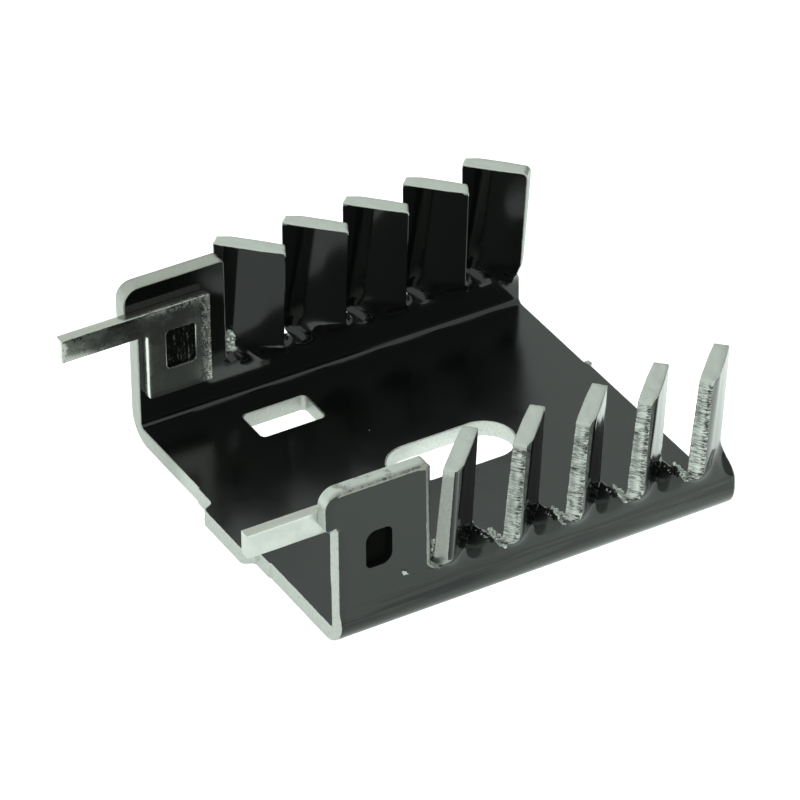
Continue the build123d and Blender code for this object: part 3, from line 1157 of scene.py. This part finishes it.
def shardPlaces(values, sheet, fins):
    # places, sizes and turns of the shards of bare metal and of coated metal
    chance = np.random.default_rng(values["seed"])
    bare, coated = [], []

    def put(group, x, y, z, size, lean=0.4, sides=(1,)):
        turn = chance.uniform(-lean, lean, 3)
        size = np.array(size) * chance.uniform(0.75, 1.3)
        for side in sides:
            group.append(((side * x, y, z), tuple(size), tuple(turn)))

    for number, (cut, peak) in enumerate(zip(cutLines(fins), values["humpPeaks"])):
        # the torn rim runs from the cut up to the foot of the free edge, inwards and back
        start = np.array((values["rimStart"], cut + 0.05, sheet["finRoot"] - 0.05))
        run = np.array((*freeEdgeAt(number, cut, values["rimEnd"], fins, sheet), values["rimEnd"])) - start

        def somewhere(low, high):
            q = chance.uniform(low, high)
            return q, *(start + run * q)

        # the heap of dark coated shards is torn coat, and also a dark mass put in the shaded gap under the free
        # edge: painted shade
        for _ in range(values["humpShards"]):
            q, x, y, z = somewhere(0.3, 0.88)
            lift = chance.uniform(-0.2, 1) * values["humpHeight"] * max(0.0, 1 - abs(q - peak) / 0.25)
            sink = chance.uniform(0.0, 1.0) * (0.2 + 1.6 * max(0.0, q - 0.4))
            out = chance.uniform(-0.05, 0.25)
            put(coated, x + out, y - 0.25 * out, z + lift - sink, (0.09, 0.12, 0.14), 0.6, (1, -1))
        for _ in range(values["shelfShards"]):
            q, x, y, z = somewhere(-0.12, 0.36)
            back = chance.uniform(0.0, 0.85)
            put(bare, x - 0.9 * back, y + 0.25 * back, z + 0.06 + 0.25 * back, (0.17, 0.12, 0.09), 0.5)
        for _ in range(values["footShards"]):
            q, x, y, z = somewhere(0.5, 1.0)
            put(bare, x + 0.3, y - 0.1, z - chance.uniform(0.0, 1.3) * (q - 0.4), (0.04, 0.06, 0.08), 0.9)
        for k in range(values["edgeShards"]):
            level = 4.6 + 2.8 * chance.uniform(0, 1) ** 1.6
            x, y = freeEdgeAt(number, cut, level, fins, sheet)
            put(coated if k % 2 else bare, x - 0.02, y - 0.05, level, (0.04, 0.045, 0.08), 0.9)
    # a torn tag closes the bottom of the first slit
    for _ in range(values["slitShards"]):
        y = sheet["tabEnd"] + chance.uniform(0.3, 0.85)
        put(bare, chance.uniform(13.55, 14.0), y, chance.uniform(4.6, 6.0), (0.1, 0.24, 0.17), 0.3, (1, -1))
    put(bare, *values["chip"], (0.08, 0.27, 0.27), 0.2)
    for x, y in values["dust"]:
        put(bare, x, y, sheet["thickness"], (0.05, 0.05, 0.02), 0.2)
    return bare, coated


def buildShardTree(material, inputs):
    # one jagged shard on every point, with the point's own size and turn
    tree, start, end = newGroup("Torn Shards", "GeometryNodeTree", inputs, {"Geometry": "Geometry"})
    points, size, jaggedness, tumble, seed = (Field(start, name) for name in inputs)
    ball = Field(addNode(tree, "GeometryNodeMeshIcoSphere", {"Radius": 1.0, "Subdivisions": 2}))
    spin = {"Seed": seed, "Min": (-1, -1, -1), "Max": (1, 1, 1)}
    spin = Field(addNode(tree, "FunctionNodeRandomValue", spin, data_type="FLOAT_VECTOR"))
    turn = vectorMath("ADD", named(tree, "turn", "FLOAT_VECTOR"), vectorMath("SCALE", spin, tumble))
    scale = vectorMath("SCALE", named(tree, "size", "FLOAT_VECTOR"), size)
    placed = {"Points": points, "Instance": ball, "Rotation": turn, "Scale": scale}
    shape = Field(addNode(tree, "GeometryNodeInstanceOnPoints", placed))
    shape = Field(addNode(tree, "GeometryNodeRealizeInstances", {0: shape}))
    place = Field(addNode(tree, "GeometryNodeInputPosition"))
    rough = Field(addNode(tree, "ShaderNodeTexNoise", {"Vector": place, "Scale": 6.0, "Detail": 1.0}), "Color")
    jag = vectorMath("SCALE", vectorMath("SUBTRACT", rough, (0.5, 0.5, 0.5)), jaggedness * 4.0)
    shape = Field(addNode(tree, "GeometryNodeSetPosition", {"Geometry": shape, "Offset": jag}))
    shape = Field(addNode(tree, "GeometryNodeTransform", {"Geometry": shape, "Scale": (mm, mm, mm)}))
    feed(end, {0: Field(addNode(tree, "GeometryNodeSetMaterial", {"Geometry": shape, "Material": material}))})
    return tree


def makeShards(name, shards, material, seed):
    mesh = meshOf(name, [place for place, size, turn in shards], [])
    for column, label in ((1, "size"), (2, "turn")):
        addAttribute(mesh, label, "FLOAT_VECTOR", [value for shard in shards for value in shard[column]])
    piece = placeObject(name, mesh)
    inputs = namedInputs({**shardValues, "seed": seed}, ("shardSize", "jaggedness", "tumble", "seed"))
    applyTree(piece, buildShardTree(material, inputs))
    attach(piece, "root")
    print(name, len(piece.data.polygons), "faces")


bareShards, coatedShards = shardPlaces(shardValues, sheetValues, finValues)
makeShards("torn_bare_metal", bareShards, tornMetal, 3)
# the coated shards are torn coat; their heap at each root also stands for the shade in the gap there
makeShards("torn_coated_metal", coatedShards, tornCoat, 5)


# Solder pins: flat lugs of tinned steel, blanked and staked inside the tabs

pinValues = {
    "thickness": 0.8,
    "wallInside": 13.1,
    "plateStart": -16.25,
    "plateEnd": -11.45,
    "bottom": 3.8,
    "top": 10.75,
    "pinWidth": 1.8,
    "tip": -22.65,
    "window": (-13.75, 7.35, 2.2, 3.0, (0.3, 0.3, 0.3, 0.3)),
    "edgeRound": 0.07,
    "unevenness": 0.015,
    "spacing": 0.35,
    "sharpAngle": 40,
}


def makePin(node, name, side, values):
    plate = BlankMesh()
    t, r, spacing = values["thickness"], values["edgeRound"], values["spacing"]
    pinBottom = values["top"] - values["pinWidth"]
    outline = fillIn(roundCorners([
        (values["plateStart"], values["bottom"], 0.15),
        (values["plateEnd"], values["bottom"], 0.12),
        (values["plateEnd"], values["top"], 0.12),
        (values["tip"], values["top"], 0.06),
        (values["tip"], pinBottom, 0.12),
        (values["plateStart"], pinBottom, 0.2),
    ]), spacing)
    loops = [outline, boxOutline(*values["window"])]
    outward = [loopNormals(loop) for loop in loops]
    signs = (-1, 1)
    inset = [moved(loop, n, sign * r) for loop, n, sign in zip(loops, outward, signs)]
    wallSide = plate.face(inset[0], inset[1:], 0.0, False, spacing)
    baySide = plate.face(inset[0], inset[1:], t, True, spacing)
    for k in range(2):
        rows = [wallSide[k]]
        for w, share in ((r * 0.3, 0.3), (r, 0.0), (t * 0.5, 0.0), (t - r, 0.0), (t - r * 0.3, 0.3)):
            ring = moved(loops[k], outward[k], signs[k] * r * share)
            ring = roughRim(ring, outward[k], w, values["unevenness"])
            rows.append([plate.add(p.x, p.y, w, 0.0) for p in ring])
        plate.rim(rows + [baySide[k]])
    places = [(side * (values["wallInside"] - w) * mm, y * mm, z * mm) for y, z, w in plate.places]
    faces = [tuple(reversed(f)) for f in plate.faces] if side > 0 else plate.faces
    piece = placeObject(name, meshOf(name, places, faces))
    piece.data.materials.append(tinPlate)
    shadeByAngle(piece, values["sharpAngle"])
    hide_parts(node)
    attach(piece, "root")
    print(name, len(faces), "faces")


makePin("solder_pin_right", "tinned_pin_right", 1, pinValues)
makePin("solder_pin_left", "tinned_pin_left", -1, pinValues)
